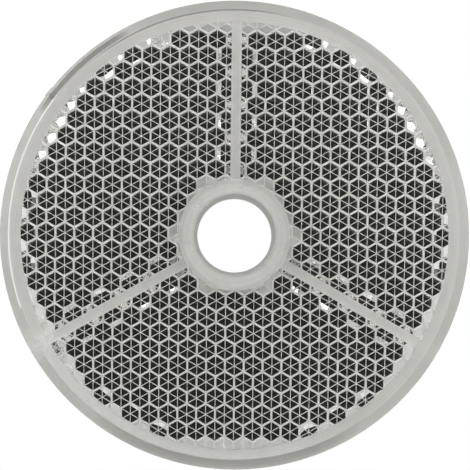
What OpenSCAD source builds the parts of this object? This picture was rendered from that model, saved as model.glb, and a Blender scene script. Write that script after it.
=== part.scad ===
// Round screw-on reflector: a clear one-piece prism lens with a flat pale
// grey back plate welded into its skirt.
// Frame: origin on the bore axis at the back mounting face, +Z up,
// the front face looks along -Y. Lengths in millimetres, angles in degrees.

/* [Lens body] */
// Diameter of the lens at the foot of its skirt
outer_d = 60; // [58:0.5:72]
// Overall thickness, mounting face to front face
thick = 7; // [6.4:0.1:9]
// Thickness of the front wall down to the roots of the prisms
front_wall = 1.8; // [1:0.1:2]
// Amount by which the skirt leans in from its foot to the bevel, on the radius
skirt_draft = 0.1; // [0.05:0.05:0.2]
// Width of the bevel round the front face, on the radius
bevel_w = 1.2; // [0.6:0.05:1.3]
// Height of the bevel round the front face
bevel_h = 1.2; // [0.6:0.05:1.3]
// Width of the plain rim round the prism field
rim_w = 2.7; // [2.4:0.1:3.6]

/* [Centre] */
// Diameter of the screw hole
bore_d = 9.5; // [5:0.1:11]
// Width of the plain ring round the screw hole
hub_w = 2.4; // [1.6:0.1:4]
// Width by which the screw hole opens out towards the front
mouth_w = 0.4; // [0.1:0.05:0.8]
// Depth over which the screw hole opens out
mouth_h = 4; // [1:0.1:4.2]

/* [Prism field] */
// Width of one corner-cube cell across its flat sides
cell_w = 2.4; // [1.6:0.002:3]
// Width of the three ribs that divide the field
rib_w = 1.3; // [0.6:0.1:2.4]
// Distance by which each sector's cell pattern is set out from the centre
sector_shift = 0.09; // [0:0.01:0.4]
// Distance by which the left sector's pattern slips round the centre
left_slip = 0; // [-0.2:0.01:0.2]
// Distance by which the lower sector's pattern slips round the centre
lower_slip = 0.15; // [-0.2:0.01:0.2]
// Distance by which the right sector's pattern slips round the centre
right_slip = -0.15; // [-0.2:0.01:0.2]

/* [Back plate] */
// Thickness of the back plate
plate_t = 1.6; // [1:0.1:1.8]
// Width of the skirt's foot, outside the edge of the plate
foot_w = 0.95; // [0.7:0.05:1.4]
// Gap between the edge of the plate and the skirt
plate_gap = 0.1; // [0.05:0.01:0.3]
// Bevel round both edges of the plate
plate_bevel = 0.2; // [0.05:0.05:0.4]

/* [Gate vestige] */
// Place of the gate vestige on the skirt, counted from +X towards +Z
gate_angle = 143; // [125:1:155]
// Width of the gate vestige along the skirt
gate_w = 1.3; // [0.6:0.1:2]
// Height of the gate vestige across the skirt
gate_h = 1.6; // [0.6:0.1:2.4]
// Distance of the gate vestige from the mounting face
gate_z = 3.2; // [2:0.1:4]
// Amount by which the vestige stands out of the skirt
gate_proud = 0.2; // [0.1:0.05:0.3]

/* [Hidden] */
$fn = 96;

// The field is three equal sectors, one between each pair of ribs
slips = [left_slip, lower_slip, right_slip];
SECTORS = len(slips);
SECTOR_TURN = 360 / SECTORS;
// The first rib points straight up
FIRST_RIB = 90;
// Overlap that lets a cutter run clear past the face it opens
CLEAR = 0.5;

outer_r = outer_d / 2;
shoulder_r = outer_r - skirt_draft;
shoulder_z = thick - bevel_h;
field_r = outer_r - rim_w;
bore_r = bore_d / 2;
hub_r = bore_r + hub_w;
seat_r = outer_r - foot_w;
plate_r = seat_r - plate_gap;
rib_length = outer_r * 2;

// A corner-cube cell is one corner of a cube seen along its diagonal.
// Its corners fall on a grid of equal triangles and on three levels.
grid_step = cell_w / sqrt(3);
level_step = cell_w / sqrt(6);
root_z = thick - front_wall;
tip_z = root_z - 2 * level_step;
grid_n = ceil((field_r + sector_shift) / (grid_step * cos(30))) + 1;

// Turns the flat drawing, front face up, to stand with its front along -Y
module stand_up() {
    rotate([90, 0, 0])
        children();
}

// Point at radius r and angle a in the plane of the face
function polar(r, a) = [r * cos(a), r * sin(a)];

// Place of grid point i, j: i steps along one rib and j along the next
function grid_xy(i, j) =
    polar(sector_shift, FIRST_RIB + SECTOR_TURN / 2)
    + polar(i * grid_step, FIRST_RIB)
    + polar(j * grid_step, FIRST_RIB + SECTOR_TURN);

// The levels repeat in threes: cube tip, middle corners, root corners
function grid_z(i, j) = tip_z + level_step * ((i + j) % 3);

function grid_point(i, j) = concat(grid_xy(i, j), grid_z(i, j));

function grid_index(i, j) = i * (grid_n + 1) + j;

// The grid's border, once round, as [i, j] pairs
function border() = [
    for (k = [0:grid_n - 1]) [k, 0],
    for (k = [0:grid_n - 1]) [grid_n, k],
    for (k = [0:grid_n - 1]) [grid_n - k, grid_n],
    for (k = [0:grid_n - 1]) [0, grid_n - k]
];

// Air under one patch of prisms: its roof is the faceted prism surface,
// its floor is flat at floor_z
module prism_air(floor_z) {
    rim = border();
    rim_n = len(rim);
    roof_n = (grid_n + 1) * (grid_n + 1);
    middle = grid_xy(grid_n / 2, grid_n / 2);
    points = [
        for (i = [0:grid_n], j = [0:grid_n]) grid_point(i, j),
        for (p = rim) concat(grid_xy(p[0], p[1]), floor_z),
        concat(middle, floor_z)
    ];
    roof = [
        for (i = [0:grid_n - 1], j = [0:grid_n - 1], half = [0, 1])
            half == 0
            ? [grid_index(i, j), grid_index(i + 1, j + 1), grid_index(i + 1, j)]
            : [grid_index(i, j), grid_index(i, j + 1), grid_index(i + 1, j + 1)]
    ];
    walls = [
        for (k = [0:rim_n - 1])
            let (p = rim[k], q = rim[(k + 1) % rim_n])
            [grid_index(p[0], p[1]), grid_index(q[0], q[1]), roof_n + (k + 1) % rim_n, roof_n + k]
    ];
    bottom = [
        for (k = [0:rim_n - 1])
            [roof_n + k, roof_n + (k + 1) % rim_n, roof_n + rim_n]
    ];
    polyhedron(points = points, faces = concat(roof, walls, bottom), convexity = 10);
}

// Outline of one sector of the field, clear of the ribs, the hub and the rim
module sector_outline() {
    middle = FIRST_RIB + SECTOR_TURN / 2;
    inner = polar(rib_w / 2 / sin(SECTOR_TURN / 2), middle);
    intersection() {
        difference() {
            circle(r = field_r);
            circle(r = hub_r);
        }
        polygon([
            inner,
            inner + polar(rib_length, FIRST_RIB),
            inner + polar(rib_length, middle),
            inner + polar(rib_length, FIRST_RIB + SECTOR_TURN)
        ]);
    }
}

// The closed air space behind one sector of prisms
module sector_pocket(slip) {
    floor_z = plate_t / 2;
    round_centre = FIRST_RIB + SECTOR_TURN / 2 + 90;
    intersection() {
        translate([0, 0, floor_z + CLEAR / 4])
            linear_extrude(height = thick)
                sector_outline();
        translate(polar(slip, round_centre))
            prism_air(floor_z);
    }
}

// Half section of the lens without its prisms, radius across and height up
module lens_section() {
    polygon([
        [bore_r, plate_t],
        [seat_r, plate_t],
        [seat_r, 0],
        [outer_r, 0],
        [shoulder_r, shoulder_z],
        [shoulder_r - bevel_w, thick],
        [bore_r + mouth_w, thick],
        [bore_r, thick - mouth_h]
    ]);
}

// Radius of the skirt at height z
function skirt_r(z) = outer_r - skirt_draft * z / shoulder_z;

// Sheared stub where the plastic entered the mould
module gate_vestige() {
    proud_r = skirt_r(gate_z + gate_h) + gate_proud;
    rotate([0, 0, gate_angle])
        translate([seat_r, -gate_w / 2, gate_z])
            cube([proud_r - seat_r, gate_w, gate_h]);
}

// Clear moulding: front wall, skirt, hub, ribs and three sectors of prisms
module prism_lens() {
    color([0.9, 0.91, 0.89, 0.45])
        stand_up()
            difference() {
                union() {
                    rotate_extrude()
                        lens_section();
                    gate_vestige();
                }
                for (k = [0:SECTORS - 1])
                    rotate([0, 0, k * SECTOR_TURN])
                        sector_pocket(slips[k]);
            }
}

// Flat disc that closes the prisms off, with the screw hole through it
module back_plate() {
    color([0.8, 0.8, 0.77])
        stand_up()
            rotate_extrude()
                polygon([
                    [bore_r, 0],
                    [plate_r - plate_bevel, 0],
                    [plate_r, plate_bevel],
                    [plate_r, plate_t - plate_bevel],
                    [plate_r - plate_bevel, plate_t],
                    [bore_r, plate_t]
                ]);
}

prism_lens();
back_plate();
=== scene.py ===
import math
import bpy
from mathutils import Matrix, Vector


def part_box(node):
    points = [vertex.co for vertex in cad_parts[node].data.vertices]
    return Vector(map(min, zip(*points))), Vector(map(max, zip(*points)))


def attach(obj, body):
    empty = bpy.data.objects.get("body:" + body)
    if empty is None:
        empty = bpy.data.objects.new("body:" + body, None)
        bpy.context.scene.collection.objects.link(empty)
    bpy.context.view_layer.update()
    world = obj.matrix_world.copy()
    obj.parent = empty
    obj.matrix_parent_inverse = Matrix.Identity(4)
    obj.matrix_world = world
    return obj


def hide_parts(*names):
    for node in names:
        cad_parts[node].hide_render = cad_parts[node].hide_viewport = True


bl_info = {
    "name": "Round Prism Reflector",
    "version": (1, 0, 0),
    "blender": (4, 5, 0),
    "location": "View3D > Sidebar > Reflector",
    "description": "Builds a clear round reflector with corner-cube prisms over a pale back plate",
    "category": "Add Mesh",
}

import bmesh
import bpy
from mathutils import Matrix, Quaternion, Vector

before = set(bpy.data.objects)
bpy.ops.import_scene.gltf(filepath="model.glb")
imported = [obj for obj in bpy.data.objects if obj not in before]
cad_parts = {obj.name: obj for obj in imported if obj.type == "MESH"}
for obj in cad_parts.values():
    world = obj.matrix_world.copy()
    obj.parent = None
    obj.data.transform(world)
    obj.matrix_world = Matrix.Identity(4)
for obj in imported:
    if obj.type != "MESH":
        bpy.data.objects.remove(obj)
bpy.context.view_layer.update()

LENS_LOW, LENS_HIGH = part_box("prism_lens")
PLATE_LOW, PLATE_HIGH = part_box("back_plate")

MM = 0.001
# The ribs stand 120 degrees apart, the first straight up
SECTORS = 3
SECTOR_TURN = 360 / SECTORS
FIRST_RIB = 90
AXIS = Vector((0, 1, 0))
# Glow of the walls all round, of the walls at the sides and of the upper half
WALLS = 0.19
SIDES = 0.43
SKY = 0.3
# Soft lights: direction, the cosines at which each is full and gone, and how much it adds
SOFT_BOXES = (
    ((-0.80, -0.40, 0.46), 0.88, 0.62, 1.3),
    ((0.80, -0.40, 0.46), 0.88, 0.62, 1.08),
    ((0, -1, 0), 0.90, 0.20, 1.08),
)
# Dim glow of the room on the viewer's side, which the prisms mirror, and two windows in it
ROOM = 0.13
WINDOWS = (
    ((-0.88, -0.45, 0.16), 0.95, 0.92, 1.5),
    ((0.88, -0.45, 0.16), 0.95, 0.92, 1.5),
)
# Cosines from the -Y axis between which the viewer's side begins, and from the +Y axis
# between which the white straight behind the object begins
VIEWER_SIDE = (0.1, 0.4)
STRAIGHT_BEHIND = (0.955, 0.985)

# Finishes of the clear plastic, in the order of the lens's slots: name, roughness, and the share of a
# pale film, partly haze of rubbed plastic and partly painted light on cut and worn cells
CLEAR, WORN, DULL = range(3)
CLEAR_FINISHES = (("clear_plastic", 0, 0), ("worn_edges_and_painted_light", 0.45, 0.48), ("dull_facets_and_painted_light", 0.2, 0.65))
# How far a face of the lens looks along the axis: upright walls less than the first value,
# prism facets 0.58, their worn ridges and valleys more than the second, the plate's seat
# more than the third
WALL_TILT, RIDGE_TILT, SEAT_TILT = 0.3, 0.7, 0.95
# Height over distance from the axis that bounds the top and the lower arc of the rim
TOP_ARC, LOWER_ARC = 0.94, -0.28
# Faint rings in the front of the plate, outside the prisms and outside the bore: the
# distance and the width in millimetres, and the strength
RIM_LINES = ((0.06, 0.05, 0.5), (0.36, 0.07, 0.35), (0.68, 0.06, 0.7), (1.05, 0.05, 0.5))
HUB_LINES = ((1.24, 0.18, 0.45), (1.9, 0.3, 0.8))

# The photo's frame, and the width of the disc in it
PHOTO_PX = 470
DISC_PX = 469.1


def length(name, description, default, low=0.0, high=1.0):
    """A length in metres that shows in the panel."""
    return bpy.props.FloatProperty(
        name=name, description=description, default=default, min=low, max=high,
        unit="LENGTH", precision=5,
    )


def colour(name, description, default):
    """A colour that shows in the panel."""
    return bpy.props.FloatVectorProperty(
        name=name, description=description, default=default, min=0, max=1,
        size=3, subtype="COLOR",
    )


class LensSizes(bpy.types.PropertyGroup):
    outer_r: length("Outer radius", "Radius at the foot of the skirt", LENS_HIGH.x)
    thick: length("Thickness", "Mounting face to front face", LENS_HIGH.y - LENS_LOW.y)
    front_wall: length("Front wall", "Front face to the roots of the prisms", 1.8 * MM)
    skirt_draft: length("Skirt draft", "How far the skirt leans in towards the bevel", 0.1 * MM)
    bevel_w: length("Bevel width", "Width of the bevel round the front face", 1.2 * MM)
    bevel_h: length("Bevel height", "Height of the bevel round the front face", 1.2 * MM)
    edge_r: length("Edge rounding", "Rounding of the edges of the bevel", 0.15 * MM)
    rim_w: length("Rim width", "Plain rim round the prism field", 2.7 * MM)
    bore_r: length("Bore radius", "Radius of the screw hole", 4.75 * MM)
    hub_w: length("Hub width", "Plain ring round the screw hole", 2.4 * MM)
    mouth_w: length("Mouth width", "How far the screw hole opens out at the front", 0.4 * MM)
    mouth_h: length("Mouth depth", "Depth over which the screw hole opens out", 4 * MM)
    plate_t: length("Plate recess depth", "Depth of the recess for the plate", PLATE_HIGH.y - PLATE_LOW.y)
    foot_w: length("Foot width", "Width of the skirt's foot, outside the plate", 0.95 * MM)
    plate_gap: length("Plate gap", "Gap between the plate and the skirt", 0.1 * MM)
    weld: length("Weld depth", "How far the lens is melted into the plate", 0.02 * MM)


class PrismSizes(bpy.types.PropertyGroup):
    cell_w: length("Cell width", "One cell across its flat sides", 2.4 * MM)
    rib_w: length("Rib width", "Width of the three ribs", 1.3 * MM)
    sector_shift: length("Sector shift", "How far each sector is set out from the centre", 0.09 * MM)
    left_slip: length("Left slip", "Slip of the left pattern round the centre", 0, -MM)
    lower_slip: length("Lower slip", "Slip of the lower pattern round the centre", 0.15 * MM, -MM)
    right_slip: length("Right slip", "Slip of the right pattern round the centre", -0.15 * MM, -MM)
    ridge_w: length("Ridge width", "Width of the worn tool edge along the ridges", 0.08 * MM)
    valley_w: length("Valley width", "Width of the fillet between cells", 0.2 * MM)
    spare: bpy.props.IntProperty(
        name="Spare steps", description="Prism steps kept beyond the sector on every side",
        default=2, min=1, max=6,
    )


class GateSizes(bpy.types.PropertyGroup):
    angle: bpy.props.FloatProperty(
        name="Gate angle", description="Where the sheared stub stands on the skirt",
        default=math.radians(143), subtype="ANGLE",
    )
    width: length("Gate width", "Width of the stub round the skirt", 1.3 * MM)
    height: length("Gate height", "Height of the stub", 1.6 * MM)
    foot: length("Gate foot", "From the mounting face to the stub", 3.2 * MM)
    proud: length("Gate proud", "How far the stub stands off the skirt", 0.2 * MM)


class Finishes(bpy.types.PropertyGroup):
    clear: colour("Clear plastic", "Tint of the lens", (0.99, 0.988, 0.975))
    plate: colour("Back plate", "Pale back plate", (0.88, 0.875, 0.84))
    land: colour("Rib lands", "Back plate where the ribs are welded to it", (0.97, 0.965, 0.93))
    # Pale film colour: haze and scuffs, and also a painted highlight along the left edge of the bevel and
    # painted light on cut and worn cells
    haze: colour("Haze", "Scuffed and hazed plastic", (0.91, 0.91, 0.88))
    # Dark film colour: grime, and also painted shade on the front, the bevel and the bore, and a painted
    # reflection on facets along the top
    shade_and_grime: colour("Grime", "Grime in the edges", (0.12, 0.115, 0.10))
    floor: colour("Floor", "Pale floor", (0.82, 0.82, 0.81))
    camera_body: colour("Camera body", "Dark body behind the camera", (0.02, 0.02, 0.019))


class StageSizes(bpy.types.PropertyGroup):
    camera_distance: length("Camera distance", "From the front face to the camera", 0.6, 0.1, 5)
    floor_drop: length("Floor drop", "From the screw hole down to the floor", 0.11, 0.03, 5)
    body_r: length("Camera body radius", "Half width of the dark body behind the camera", 0.085)


def settings():
    return bpy.context.scene.reflector


def polar(radius, angle):
    """Point in the plane of the face, angle counted from +X towards +Z."""
    a = math.radians(angle)
    return Vector((radius * math.cos(a), 0, radius * math.sin(a)))


def slips_of(prism):
    """How far each sector's pattern slips, in the order of the sectors."""
    return prism.left_slip, prism.lower_slip, prism.right_slip


def turn(angle):
    """Rotation about the bore axis that carries +X towards +Z."""
    return Matrix.Rotation(-math.radians(angle), 4, AXIS)


def mesh_object(name, bm):
    """Turns a bmesh into an object at the origin."""
    mesh = bpy.data.meshes.new(name)
    bm.to_mesh(mesh)
    bm.free()
    piece = bpy.data.objects.new(name, mesh)
    bpy.context.scene.collection.objects.link(piece)
    return piece


def settle(piece):
    """Applies an object's modifiers to its mesh."""
    bpy.context.view_layer.update()
    done = bpy.data.meshes.new_from_object(
        piece.evaluated_get(bpy.context.evaluated_depsgraph_get())
    )
    piece.modifiers.clear()
    old = piece.data
    piece.data = done
    done.name = old.name
    bpy.data.meshes.remove(old)
    return piece


def boolean(piece, cutter, operation):
    """Cuts or intersects a piece with a cutter, which is used up."""
    step = piece.modifiers.new("cut", "BOOLEAN")
    step.solver = "EXACT"
    step.operation = operation
    step.object = cutter
    settle(piece)
    bpy.data.objects.remove(cutter)
    return piece


def lathe(points, steps, rounded=()):
    """Spins a closed half section of (radius, y) points about the bore axis.

    rounded lists (point number, radius, steps) for corners to round first.
    """
    bm = bmesh.new()
    ring = [bm.verts.new((r, y, 0)) for r, y in points]
    edges = [bm.edges.new((ring[k - 1], ring[k])) for k in range(len(ring))]
    for number, radius, segments in rounded:
        bmesh.ops.bevel(
            bm, geom=[ring[number]], offset=radius, offset_type="OFFSET", segments=segments,
            profile=0.5, affect="VERTICES", material=-1,
        )
    bmesh.ops.spin(
        bm, geom=bm.verts[:] + bm.edges[:], cent=(0, 0, 0), axis=AXIS,
        angle=math.tau, steps=steps, use_merge=True, use_duplicate=False,
    )
    bmesh.ops.recalc_face_normals(bm, faces=bm.faces)
    return bm


def lens_blank(lens):
    """The lens without its prisms."""
    seat_r = lens.outer_r - lens.foot_w
    seat_y = lens.weld - lens.plate_t
    shoulder_r = lens.outer_r - lens.skirt_draft
    points = [
        (lens.bore_r, seat_y),
        (seat_r, seat_y),
        (seat_r, 0),
        (lens.outer_r, 0),
        (shoulder_r, lens.bevel_h - lens.thick),
        (shoulder_r - lens.bevel_w, -lens.thick),
        (lens.bore_r + lens.mouth_w, -lens.thick),
        (lens.bore_r, lens.mouth_h - lens.thick),
    ]
    return mesh_object("clear_lens", lathe(points, 256, [(4, lens.edge_r, 4), (5, lens.edge_r, 4)]))


def gate_stub(lens, gate):
    """Sheared stub where the plastic entered the mould."""
    lean = lens.skirt_draft * (gate.foot + gate.height) / (lens.thick - lens.bevel_h)
    inner, outer = lens.outer_r - lens.rim_w / 2, lens.outer_r - lean + gate.proud
    bm = bmesh.new()
    bmesh.ops.create_cube(bm, size=1)
    bmesh.ops.scale(bm, verts=bm.verts, vec=(outer - inner, gate.height, gate.width))
    bmesh.ops.translate(
        bm, verts=bm.verts, vec=((inner + outer) / 2, -gate.foot - gate.height / 2, 0)
    )
    bmesh.ops.bevel(
        bm, geom=bm.edges[:], offset=0.06 * MM, segments=2, profile=0.5, affect="EDGES",
        material=-1,
    )
    bmesh.ops.rotate(
        bm, verts=bm.verts, cent=(0, 0, 0), matrix=turn(math.degrees(gate.angle))
    )
    return mesh_object("gate_stub", bm)


def prism_roof(lens, prism, slip):
    """One patch of the faceted prism surface, with worn ridges and filleted valleys."""
    middle = FIRST_RIB + SECTOR_TURN / 2
    grid_step = prism.cell_w / math.sqrt(3)
    level_step = prism.cell_w / math.sqrt(6)
    field_r = lens.outer_r - lens.rim_w
    reach = math.ceil((field_r + prism.sector_shift) / (grid_step * math.cos(math.pi / 6)))
    count = reach + 2 * prism.spare
    tip_y = lens.front_wall - lens.thick + 2 * level_step
    bm = bmesh.new()
    bmesh.ops.create_grid(bm, x_segments=count, y_segments=count, size=count / 2)
    level = bm.verts.layers.int.new("level")
    place = {}
    for v in bm.verts:
        i, j = (round(c + count / 2) - prism.spare for c in v.co.xy)
        v[level] = (i + j) % 3
        v.co = (
            polar(prism.sector_shift, middle)
            + polar(slip, middle + 90)
            + polar(i * grid_step, FIRST_RIB)
            + polar(j * grid_step, FIRST_RIB + SECTOR_TURN)
            + AXIS * (tip_y - level_step * v[level])
        )
        place[v] = i + j
    for face in bm.faces[:]:
        near, far = min(face.verts, key=place.get), max(face.verts, key=place.get)
        bmesh.utils.face_split(face, near, far)
    flat = [e for e in bm.edges if {v[level] for v in e.verts} == {0, 2} and not e.is_boundary]
    bmesh.ops.dissolve_edges(bm, edges=flat, use_verts=False)
    weight = bm.edges.layers.float.new("bevel_weight_edge")
    widest = max(prism.ridge_w, prism.valley_w)
    for e in bm.edges:
        if not e.is_boundary:
            ridge = {v[level] for v in e.verts} == {0, 1}
            e[weight] = (prism.ridge_w if ridge else prism.valley_w) / widest
    roof = mesh_object("prism_roof", bm)
    # A right-angled edge cut back by d shows a strip 2 d / sqrt(3) wide along the axis
    wear = roof.modifiers.new("wear", "BEVEL")
    wear.limit_method = "WEIGHT"
    wear.width = widest * math.sqrt(3) / 2
    wear.segments = 1
    wear.use_clamp_overlap = False
    return settle(roof)


def prism_air(lens, prism, slip):
    """The air behind one patch of prisms."""
    roof = prism_roof(lens, prism, slip)
    bm = bmesh.new()
    bm.from_mesh(roof.data)
    bpy.data.objects.remove(roof)
    border = [e for e in bm.edges if e.is_boundary]
    skirt = bmesh.ops.extrude_edge_only(bm, edges=border)["geom"]
    for v in skirt:
        if isinstance(v, bmesh.types.BMVert):
            v.co.y = -lens.plate_t / 2
    bmesh.ops.holes_fill(bm, edges=[e for e in bm.edges if e.is_boundary])
    bmesh.ops.recalc_face_normals(bm, faces=bm.faces)
    return mesh_object("prism_air", bm)


def sector_block(lens, prism):
    """Ring sector between two ribs, the hub and the rim."""
    hub_r = lens.bore_r + lens.hub_w
    field_r = lens.outer_r - lens.rim_w
    bm = bmesh.new()
    corners = [(hub_r, 0), (field_r, 0), (field_r, -lens.thick), (hub_r, -lens.thick)]
    verts = [bm.verts.new((r, y, 0)) for r, y in corners]
    face = bm.faces.new(verts)
    bmesh.ops.rotate(bm, verts=bm.verts, cent=(0, 0, 0), matrix=turn(FIRST_RIB))
    bmesh.ops.translate(bm, verts=bm.verts, vec=AXIS * -lens.plate_t * 0.6)
    bmesh.ops.spin(
        bm, geom=[face], cent=(0, 0, 0), axis=AXIS, angle=-math.radians(SECTOR_TURN), steps=96,
    )
    for angle, side in ((FIRST_RIB, 1), (FIRST_RIB + SECTOR_TURN, -1)):
        out = polar(1, angle + side * 90)
        cut = bmesh.ops.bisect_plane(
            bm, geom=bm.verts[:] + bm.edges[:] + bm.faces[:], plane_co=out * prism.rib_w / 2,
            plane_no=-out, clear_outer=True,
        )["geom_cut"]
        rim = [e for e in cut if isinstance(e, bmesh.types.BMEdge)]
        bmesh.ops.contextual_create(bm, geom=rim)
    bmesh.ops.recalc_face_normals(bm, faces=bm.faces)
    return mesh_object("sector_block", bm)


def clear_lens(lens, prism, gate):
    """The whole clear moulding."""
    bm = bmesh.new()
    for k, slip in enumerate(slips_of(prism)):
        air = prism_air(lens, prism, slip)
        pocket = boolean(sector_block(lens, prism), air, "INTERSECT")
        pocket.data.transform(turn(k * SECTOR_TURN))
        bm.from_mesh(pocket.data)
        bpy.data.objects.remove(pocket)
    pockets = mesh_object("pockets", bm)
    blank = boolean(lens_blank(lens), gate_stub(lens, gate), "UNION")
    return boolean(blank, pockets, "DIFFERENCE")


def cell_centre(point, prism):
    """Centre of the cell that a point of the face lies in, before the sector is turned."""
    step = prism.cell_w / math.sqrt(3)
    turned = math.degrees(math.atan2(point.z, point.x)) - FIRST_RIB
    k = int(turned % 360 // SECTOR_TURN)
    middle = FIRST_RIB + SECTOR_TURN / 2
    start = polar(prism.sector_shift, middle) + polar(slips_of(prism)[k], middle + 90)
    flat = turn(-k * SECTOR_TURN) @ Vector((point.x, 0, point.z))
    away = flat - start
    j = -away.x / (step * math.cos(math.pi / 6))
    i = away.z / step + j / 2
    near = [
        start + polar(a * step, FIRST_RIB) + polar(b * step, FIRST_RIB + SECTOR_TURN)
        for a in range(math.floor(i) - 1, math.floor(i) + 3)
        for b in range(math.floor(j) - 1, math.floor(j) + 3)
        if (a + b) % 3 == 0
    ]
    return min(near, key=lambda c: (c - flat).length)


def facet_finish(face, lens, prism):
    """The slot of one face of the lens."""
    hub_r, field_r = lens.bore_r + lens.hub_w, lens.outer_r - lens.rim_w
    tilt, reach = abs(face.normal.y), face.center.xz.length
    if not (hub_r < reach < field_r and WALL_TILT < tilt < SEAT_TILT):
        return CLEAR
    cell = cell_centre(face.center, prism).length
    if tilt > RIDGE_TILT or cell < hub_r + 0.5 * MM:
        return WORN
    # Cells that the rim cuts through the middle: which of them get the pale film of painted light depends
    # on where they stand round the rim
    height = face.center.z / reach
    if height > TOP_ARC:
        return DULL if cell > field_r - 0.75 * MM else CLEAR
    if cell < field_r - 0.3 * MM:
        return CLEAR
    if height < LOWER_ARC:
        return DULL
    outward = face.normal.xz.dot(face.center.xz) / reach
    return WORN if outward > WALL_TILT else CLEAR


def back_plate(lens):
    """The disc behind the prisms."""
    plate_r = lens.outer_r - lens.foot_w - lens.plate_gap
    points = [(lens.bore_r, 0), (plate_r, 0), (plate_r, -lens.plate_t), (lens.bore_r, -lens.plate_t)]
    rounded = [(1, 0.2 * MM, 2), (2, 0.2 * MM, 2)]
    return mesh_object("grey_plate", lathe(points, 192, rounded))


def shade(piece, sharp_degrees=30):
    """Smooth shading, crisp at sharp edges and true on the flat faces."""
    piece.data.shade_smooth()
    piece.data.set_sharp_from_angle(angle=math.radians(sharp_degrees))
    flats = piece.modifiers.new("flats", "WEIGHTED_NORMAL")
    flats.keep_sharp = True
    flats.weight = 100
    settle(piece)


class Wire:
    """One socket of a node tree, with sums written as Python expressions."""

    def __init__(self, tree, socket):
        self.tree = tree
        self.socket = socket

    def node(self, kind, inputs, settings=(), output=0):
        """Adds any node: its settings first, then the values or links of its sockets."""
        made = self.tree.nodes.new(kind)
        for name, value in dict(settings).items():
            setattr(made, name, value)
        for key, value in inputs.items():
            if isinstance(value, Wire):
                self.tree.links.new(value.socket, made.inputs[key])
            else:
                made.inputs[key].default_value = value
        return Wire(self.tree, made.outputs[output])

    def math(self, operation, first, second=0.5):
        return self.node("ShaderNodeMath", {0: first, 1: second}, {"operation": operation})

    def __add__(self, other):
        return self.math("ADD", self, other)

    def __radd__(self, other):
        return self.math("ADD", other, self)

    def __sub__(self, other):
        return self.math("SUBTRACT", self, other)

    def __rsub__(self, other):
        return self.math("SUBTRACT", other, self)

    def __mul__(self, other):
        return self.math("MULTIPLY", self, other)

    def __rmul__(self, other):
        return self.math("MULTIPLY", other, self)

    def __truediv__(self, other):
        return self.math("DIVIDE", self, other)

    def between(self, low, high):
        """0 below low, 1 above high, smooth in between."""
        values = {"Value": self, "From Min": low, "From Max": high}
        return self.node("ShaderNodeMapRange", values, {"interpolation_type": "SMOOTHSTEP"})

    def larger(self, other):
        return self.math("MAXIMUM", self, other)

    def root(self):
        return self.math("SQRT", self)

    def part(self, index):
        """One coordinate of a vector."""
        return self.node("ShaderNodeSeparateXYZ", {0: self}, output=index)

    def dot(self, vector):
        values = {0: self, 1: vector}
        return self.node("ShaderNodeVectorMath", values, {"operation": "DOT_PRODUCT"}, 1)

    def noise(self, scale, detail=2.0):
        values = {"Vector": self, "Scale": scale, "Detail": detail}
        return self.node("ShaderNodeTexNoise", values)

    def blend(self, first, second):
        """Mixes two colours by this value."""
        values = {0: self, 6: first, 7: second}
        return self.node("ShaderNodeMix", values, {"data_type": "RGBA"}, 2)

    def feed(self, shader, name):
        self.tree.links.new(self.socket, shader.inputs[name])


def material(name, colour, roughness):
    """A new material with its shader and the piece's own coordinates."""
    made = bpy.data.materials.new(name)
    made.use_nodes = True
    shader = made.node_tree.nodes["Principled BSDF"]
    shader.inputs["Base Color"].default_value = (*colour, 1)
    shader.inputs["Roughness"].default_value = roughness
    where = Wire(made.node_tree, None).node("ShaderNodeTexCoord", {}, output="Object")
    return made, shader, where


def radius_of(where):
    """Distance from the bore axis."""
    across, up = where.part(0), where.part(2)
    return (across * across + up * up).root()


def bump(height, distance, strength=1.0):
    return height.node(
        "ShaderNodeBump", {"Height": height, "Distance": distance, "Strength": strength}
    )


def ring(radius, inner, outer, soft):
    """1 between two radii, fading over a soft width."""
    return radius.between(inner - soft, inner) * radius.between(outer + soft, outer)


def arc(where, radius, middle, half, soft=6):
    """1 within half degrees of an angle, fading over soft degrees."""
    cosine = where.dot(tuple(polar(1, middle))) / radius
    full, gone = (math.cos(math.radians(a)) for a in (half, half + soft))
    return cosine.between(gone, full)


def spot(where, x, z, inner, outer):
    """1 near a point of the face, 0 past the outer radius."""
    across, up = where.part(0) - x, where.part(2) - z
    return (across * across + up * up).root().between(outer, inner)


def haze_and_glint_film(where, radius, lens):
    """Hazed and scuffed places on the front, and a painted highlight along the left edge of the bevel."""
    edge = lens.outer_r - lens.skirt_draft - lens.bevel_w
    hub_r, field_r = lens.bore_r + lens.hub_w, lens.outer_r - lens.rim_w
    patches = where.noise(700, 3)
    # A painted highlight: a pale film along the edge of the bevel at the left, where the rounding glints
    edge_glint = ring(radius, edge - 0.02 * MM, edge + 0.16 * MM, 0.04 * MM)
    edge_glint = edge_glint * arc(where, radius, 171, 27, 3) * (0.8 + 0.6 * patches)
    # A patch at the lower left
    haze = spot(where, -24.6 * MM, -14.0 * MM, 0.6 * MM, 3.4 * MM)
    haze = haze * patches.between(0.36, 0.6) * 0.34
    # The plain ring round the bore, and the foot of the plain rim, paler along the bottom
    hub = radius.between(hub_r + 0.2 * MM, hub_r - 0.2 * MM)
    foot = ring(radius, field_r + 0.1 * MM, edge - 0.1 * MM, 0.1 * MM)
    foot = foot * arc(where, radius, 250, 36, 14)
    return edge_glint.larger(haze).larger(hub.larger(foot) * (0.12 + 0.2 * patches))


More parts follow.
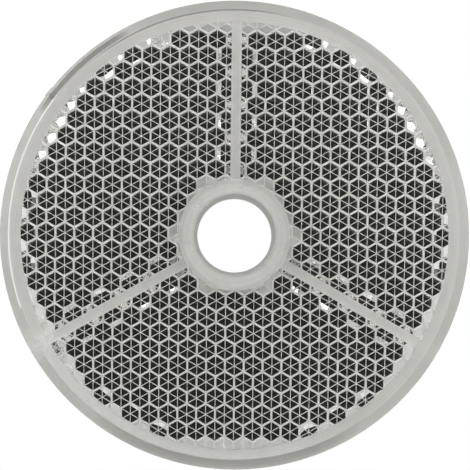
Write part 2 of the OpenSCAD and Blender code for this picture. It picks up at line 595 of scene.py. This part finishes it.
def shade_and_stain_film(where, radius, lens):
    """Painted shade on the front, darker places beside the gate and round the bore's mouth, and the stain
    at the gate.
    """
    edge = lens.outer_r - lens.skirt_draft - lens.bevel_w
    mouth = lens.bore_r + lens.mouth_w
    # Painted shade: a dark line along the top edge, and a wide shade along the bottom
    top = ring(radius, edge - 0.12 * MM, edge + 0.02 * MM, 0.05 * MM)
    top = top * arc(where, radius, 102, 13, 18) * 0.66
    under = radius.between(edge - 0.25 * MM, edge - 0.05 * MM)
    under = under * radius.between(edge + 2.4 * MM, edge + 0.2 * MM)
    under = under * arc(where, radius, 268, 22, 22) * 0.42
    # The bevel, painted shade that is greyest at the upper right
    bevel = radius.between(edge - 0.05 * MM, edge + 0.05 * MM)
    bevel = bevel * (0.16 + 0.13 * arc(where, radius, 68, 40, 15))
    # The stain at the gate, a darker stretch of the band beside it, and painted shade along the skirt
    # beside it
    gate = spot(where, -23.45 * MM, 17.4 * MM, 0.25 * MM, 0.65 * MM) * 0.85
    dark_by_gate = ring(radius, edge + 0.22 * MM, edge + 0.8 * MM, 0.1 * MM)
    dark_by_gate = dark_by_gate * arc(where, radius, 133, 9, 9) * 0.7
    skirt = radius.between(lens.outer_r - 0.3 * MM, lens.outer_r - 0.15 * MM)
    skirt = skirt * arc(where, radius, 135, 16, 10) * 0.35
    lip = ring(radius, mouth + 0.06 * MM, mouth + 0.24 * MM, 0.1 * MM) * 0.26
    return top.larger(under).larger(bevel).larger(gate).larger(dark_by_gate).larger(skirt).larger(lip)


def clear_plastic(finish, lens, name, roughness, haze_and_painted_light):
    """Clear moulded plastic with a film of wear, grime, painted shade, painted highlights and painted
    light on its front, on cut cells and in the bore.
    """
    made, shader, where = material(name, finish.clear, roughness)
    shader.inputs["IOR"].default_value = 1.49
    shader.inputs["Transmission Weight"].default_value = 1
    cloud = where.noise(260, 3)
    dull = tuple(0.95 * c for c in finish.clear)
    cloud.between(0.45, 0.75).blend((*finish.clear, 1), (*dull, 1)).feed(shader, "Base Color")

    radius = radius_of(where)
    front = (where.part(1) * -1).between(5.3 * MM, 5.7 * MM)
    mouth = lens.bore_r + lens.mouth_w
    # Painted shade: a grey film over the wall of the bore and its mouth, where the hole is shaded
    bore = radius.between(mouth + 0.06 * MM, mouth - 0.02 * MM)
    pale = haze_and_glint_film(where, radius, lens).larger(bore * 0.38).larger(haze_and_painted_light)
    shade_and_grime = shade_and_stain_film(where, radius, lens).larger(bore * 0.62)
    share = pale / (pale + shade_and_grime + 0.001)
    if haze_and_painted_light:
        # Painted reflection: along the top the facets that face down get the dark film colour, standing
        # in for the dark of the rim that they mirror
        normal = where.node("ShaderNodeNewGeometry", {}, output="Normal")
        down = (normal.part(1) * normal.part(2) * -1).between(0.25, 0.4)
        share = share * (1 - down * where.part(2).between(20 * MM, 22 * MM) * 0.62)
    colour_of = share.blend((*finish.shade_and_grime, 1), (*finish.haze, 1))
    dust = cloud.between(0.5, 0.8) * 0.02
    amount = ((pale.larger(shade_and_grime) + dust) * front).larger(bore * 0.92).larger(haze_and_painted_light)
    film = where.node("ShaderNodeBsdfPrincipled", {"Base Color": colour_of, "Roughness": 0.6})
    own = Wire(made.node_tree, shader.outputs["BSDF"])
    both = where.node("ShaderNodeMixShader", {0: amount, 1: own, 2: film})
    both.feed(made.node_tree.nodes["Material Output"], "Surface")
    return made


def welded_lands(where, radius, lens, prism):
    """Where the ribs and the hub of the lens are welded to the plate."""
    hub_r, field_r = lens.bore_r + lens.hub_w, lens.outer_r - lens.rim_w
    lands = 0
    for k in range(SECTORS):
        along, beside = (polar(1, FIRST_RIB + k * SECTOR_TURN + side) for side in (0, 90))
        across = where.dot(tuple(beside))
        aside = across.math("ABSOLUTE", across)
        rib = aside.between(prism.rib_w * 0.56, prism.rib_w * 0.48)
        rib = rib * (0.55 + 0.45 * aside.between(prism.rib_w * 0.2, prism.rib_w * 0.36))
        lands = rib * where.dot(tuple(along)).between(0, MM) + lands
    lands = lands * radius.between(field_r, field_r - 0.5 * MM)
    lands = lands.larger(radius.between(hub_r, hub_r - 0.2 * MM))
    for place, width, strength in HUB_LINES:
        inner = lens.bore_r + place * MM
        lands = lands * (1 - strength * ring(radius, inner, inner + width * MM, 0.08 * MM))
    return lands


def plate_plastic(finish, lens, prism):
    """Pale moulded plastic, faintly mottled, greyer under the rim as painted shade."""
    made, shader, where = material("plate_plastic", finish.plate, 0.5)
    mottle = where.noise(320, 3).between(0.3, 0.7)
    grain = where.noise(2600, 2)
    radius = radius_of(where)
    front = (where.part(1) * -1).between(lens.plate_t * 0.7, lens.plate_t * 0.9)
    field_r = lens.outer_r - lens.rim_w
    # Painted shade: the plate is greyer from the edge of the prisms outwards, under the plain rim and the
    # bevel
    rim = radius.between(field_r - 0.3 * MM, field_r + 0.1 * MM)
    lines = 0
    for place, width, strength in RIM_LINES:
        inner = field_r + place * MM
        lines = ring(radius, inner, inner + width * MM, 0.05 * MM) * strength + lines
    darker = (mottle * 0.6 + grain * 0.2) * 0.3 + (rim * 0.3 + lines) * front + (1 - front) * 0.8
    dull = tuple(0.86 * c for c in finish.plate)
    body = darker.blend((*finish.plate, 1), (*dull, 1))
    lands = welded_lands(where, radius, lens, prism) * front
    lands.blend(body, (*finish.land, 1)).feed(shader, "Base Color")
    (0.45 + mottle * 0.12).feed(shader, "Roughness")
    bump(grain, 0.02 * MM).feed(shader, "Normal")
    return made


def plain(name, rgb, roughness):
    """Plain matte finish of the stage."""
    made, shader, where = material(name, rgb, roughness)
    shader.inputs["Specular IOR Level"].default_value = 0
    grain = where.noise(40, 2)
    shade_of = tuple(0.98 * c for c in rgb)
    grain.blend((*rgb, 1), (*shade_of, 1)).feed(shader, "Base Color")
    return made


def soft_glow(towards, lights):
    """Sum of soft lights, given as SOFT_BOXES gives them."""
    glow = 0
    for direction, near, far, strength in lights:
        axis = tuple(Vector(direction).normalized())
        glow = towards.dot(axis).between(far, near) * strength + glow
    return glow


def studio_light(scene):
    """White surroundings for the camera, soft boxes and dim walls in the gloss."""
    world = bpy.data.worlds.new("studio")
    scene.world = world
    world.use_nodes = True
    surroundings = world.node_tree.nodes["Background"]
    wire = Wire(world.node_tree, None)
    towards = wire.node("ShaderNodeTexCoord", {}, output="Generated")
    rays = wire.node("ShaderNodeLightPath", {}, output="Is Glossy Ray").larger(
        wire.node("ShaderNodeLightPath", {}, output="Is Transmission Ray")
    )
    sideways = towards.part(0).math("ABSOLUTE", towards.part(0))
    light = sideways * SIDES + towards.part(2).larger(0) * SKY + WALLS
    light = light + soft_glow(towards, SOFT_BOXES)
    # Rays that have touched nothing matte, so light on the plate stays as it is
    depth = wire.node("ShaderNodeLightPath", {}, output="Diffuse Depth")
    mirrored = (1 - depth).larger(0) * towards.dot((0, -1, 0)).between(*VIEWER_SIDE)
    room = ROOM + soft_glow(towards, WINDOWS)
    light = mirrored * room + (1 - mirrored) * light
    behind = towards.dot((0, 1, 0)).between(*STRAIGHT_BEHIND)
    light = behind + (1 - behind) * light
    (rays * light + (1 - rays)).feed(surroundings, "Strength")
    surroundings.inputs["Color"].default_value = (1, 1, 1, 1)


class REFLECTOR_OT_lens(bpy.types.Operator):
    """Build the clear prism lens"""

    bl_idname = "reflector.lens"
    bl_label = "Clear lens"

    def execute(self, context):
        kit = settings()
        piece = clear_lens(kit.lens, kit.prism, kit.gate)
        shade(piece)
        for name, roughness, haze_and_painted_light in CLEAR_FINISHES:
            made = clear_plastic(kit.finish, kit.lens, name, roughness, haze_and_painted_light)
            piece.data.materials.append(made)
        for face in piece.data.polygons:
            face.material_index = facet_finish(face, kit.lens, kit.prism)
        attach(piece, "root")
        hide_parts("prism_lens")
        return {"FINISHED"}


class REFLECTOR_OT_plate(bpy.types.Operator):
    """Finish the back plate"""

    bl_idname = "reflector.plate"
    bl_label = "Back plate"

    def execute(self, context):
        kit = settings()
        piece = back_plate(kit.lens)
        shade(piece)
        piece.data.materials.append(plate_plastic(kit.finish, kit.lens, kit.prism))
        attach(piece, "root")
        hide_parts("back_plate")
        return {"FINISHED"}


class REFLECTOR_OT_stage(bpy.types.Operator):
    """Set the floor, the light and the camera"""

    bl_idname = "reflector.stage"
    bl_label = "Stage"

    def execute(self, context):
        kit = settings()
        scene = context.scene
        scene.view_settings.view_transform = "Standard"
        scene.cycles.max_bounces = 32
        scene.cycles.glossy_bounces = 16
        scene.cycles.transmission_bounces = 24
        bm = bmesh.new()
        bmesh.ops.create_circle(bm, cap_ends=True, segments=96, radius=0.22)
        bmesh.ops.translate(bm, verts=bm.verts, vec=(0, 0, -kit.stage.floor_drop))
        floor = mesh_object("floor", bm)
        floor.data.materials.append(plain("floor", kit.finish.floor, 0.8))

        data = bpy.data.cameras.new("camera")
        camera = bpy.data.objects.new("camera", data)
        scene.collection.objects.link(camera)
        scene.camera = camera
        distance = kit.stage.camera_distance
        across, below, roll = math.radians(-0.5), math.radians(1.8), math.radians(0.65)
        target = Vector((0.03 * MM, -kit.lens.thick, -0.07 * MM))
        back = Vector((math.sin(across), -math.cos(across), -math.sin(below))).normalized()
        camera.location = target + back * distance
        facing = (-back).to_track_quat("-Z", "Y")
        camera.rotation_mode = "QUATERNION"
        camera.rotation_quaternion = facing @ Quaternion((0, 0, 1), roll)
        data.sensor_width = 36
        # The frame is as wide as the photo's at the depth of the disc's widest edge
        widest = kit.lens.outer_r - kit.lens.skirt_draft
        framed = 2 * widest * PHOTO_PX / DISC_PX
        data.lens = data.sensor_width * (distance + kit.lens.bevel_h) / framed
        data.clip_start = 0.01
        data.clip_end = 100

        bm = bmesh.new()
        bmesh.ops.create_circle(bm, cap_ends=True, segments=64, radius=kit.stage.body_r)
        # It stands behind the camera, centred on the axis of the disc
        off = camera.location.xz
        bmesh.ops.translate(bm, verts=bm.verts, vec=(-off.x, -off.y, 0.01))
        body = mesh_object("camera_body", bm)
        body.data.materials.append(plain("camera_body", kit.finish.camera_body, 0.9))
        body.parent = camera

        studio_light(scene)
        return {"FINISHED"}


class REFLECTOR_PT_panel(bpy.types.Panel):
    bl_idname = "REFLECTOR_PT_panel"
    bl_label = "Round reflector"
    bl_space_type = "VIEW_3D"
    bl_region_type = "UI"
    bl_category = "Reflector"

    def draw(self, context):
        layout = self.layout
        for group in ("lens", "prism", "gate", "finish", "stage"):
            box = layout.box()
            values = getattr(settings(), group)
            for name in values.__annotations__:
                box.prop(values, name)
        for step in STEPS:
            layout.operator(step.bl_idname)


class ReflectorSettings(bpy.types.PropertyGroup):
    lens: bpy.props.PointerProperty(type=LensSizes)
    prism: bpy.props.PointerProperty(type=PrismSizes)
    gate: bpy.props.PointerProperty(type=GateSizes)
    finish: bpy.props.PointerProperty(type=Finishes)
    stage: bpy.props.PointerProperty(type=StageSizes)


STEPS = (REFLECTOR_OT_lens, REFLECTOR_OT_plate, REFLECTOR_OT_stage)
CLASSES = (
    LensSizes, PrismSizes, GateSizes, Finishes, StageSizes, ReflectorSettings, *STEPS,
    REFLECTOR_PT_panel,
)


def register():
    for one in CLASSES:
        bpy.utils.register_class(one)
    bpy.types.Scene.reflector = bpy.props.PointerProperty(type=ReflectorSettings)


def unregister():
    del bpy.types.Scene.reflector
    for one in reversed(CLASSES):
        bpy.utils.unregister_class(one)


def main():
    register()
    bpy.ops.reflector.lens()
    bpy.ops.reflector.plate()
    bpy.ops.reflector.stage()


if __name__ == "__main__":
    main()
